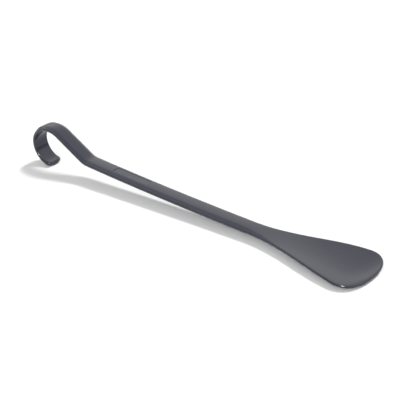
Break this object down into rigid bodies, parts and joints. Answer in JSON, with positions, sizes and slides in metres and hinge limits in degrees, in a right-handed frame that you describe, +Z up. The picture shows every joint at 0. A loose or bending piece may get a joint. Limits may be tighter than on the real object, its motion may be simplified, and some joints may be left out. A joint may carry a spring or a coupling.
{
  "type": "shoehorn",
  "caption": "Long plastic shoehorn with a hollow flared blade, a slim handle with a raised band and a plain ribbed name plate, and an open hook to hang it by.",
  "frame": {"origin": "on the table, under the middle of the part's box, as it lies on its hook and the belly of its blade", "axes": "+X along the handle from the hook to the tip of the blade, +Y across the handle, +Z up"},
  "size_m": [0.3278, 0.0476, 0.0381],
  "materials": {
    "moulding": "gloss blue-grey moulded plastic, dark, with soft reflections and fine handling marks",
    "name_plate": "satin blue-grey plastic, a little lighter than the moulding, with plain slanting ribs"
  },
  "bodies": {
    "root": {"shoehorn_body": "moulding", "name_plate": "name_plate"}
  },
  "joints": []
}
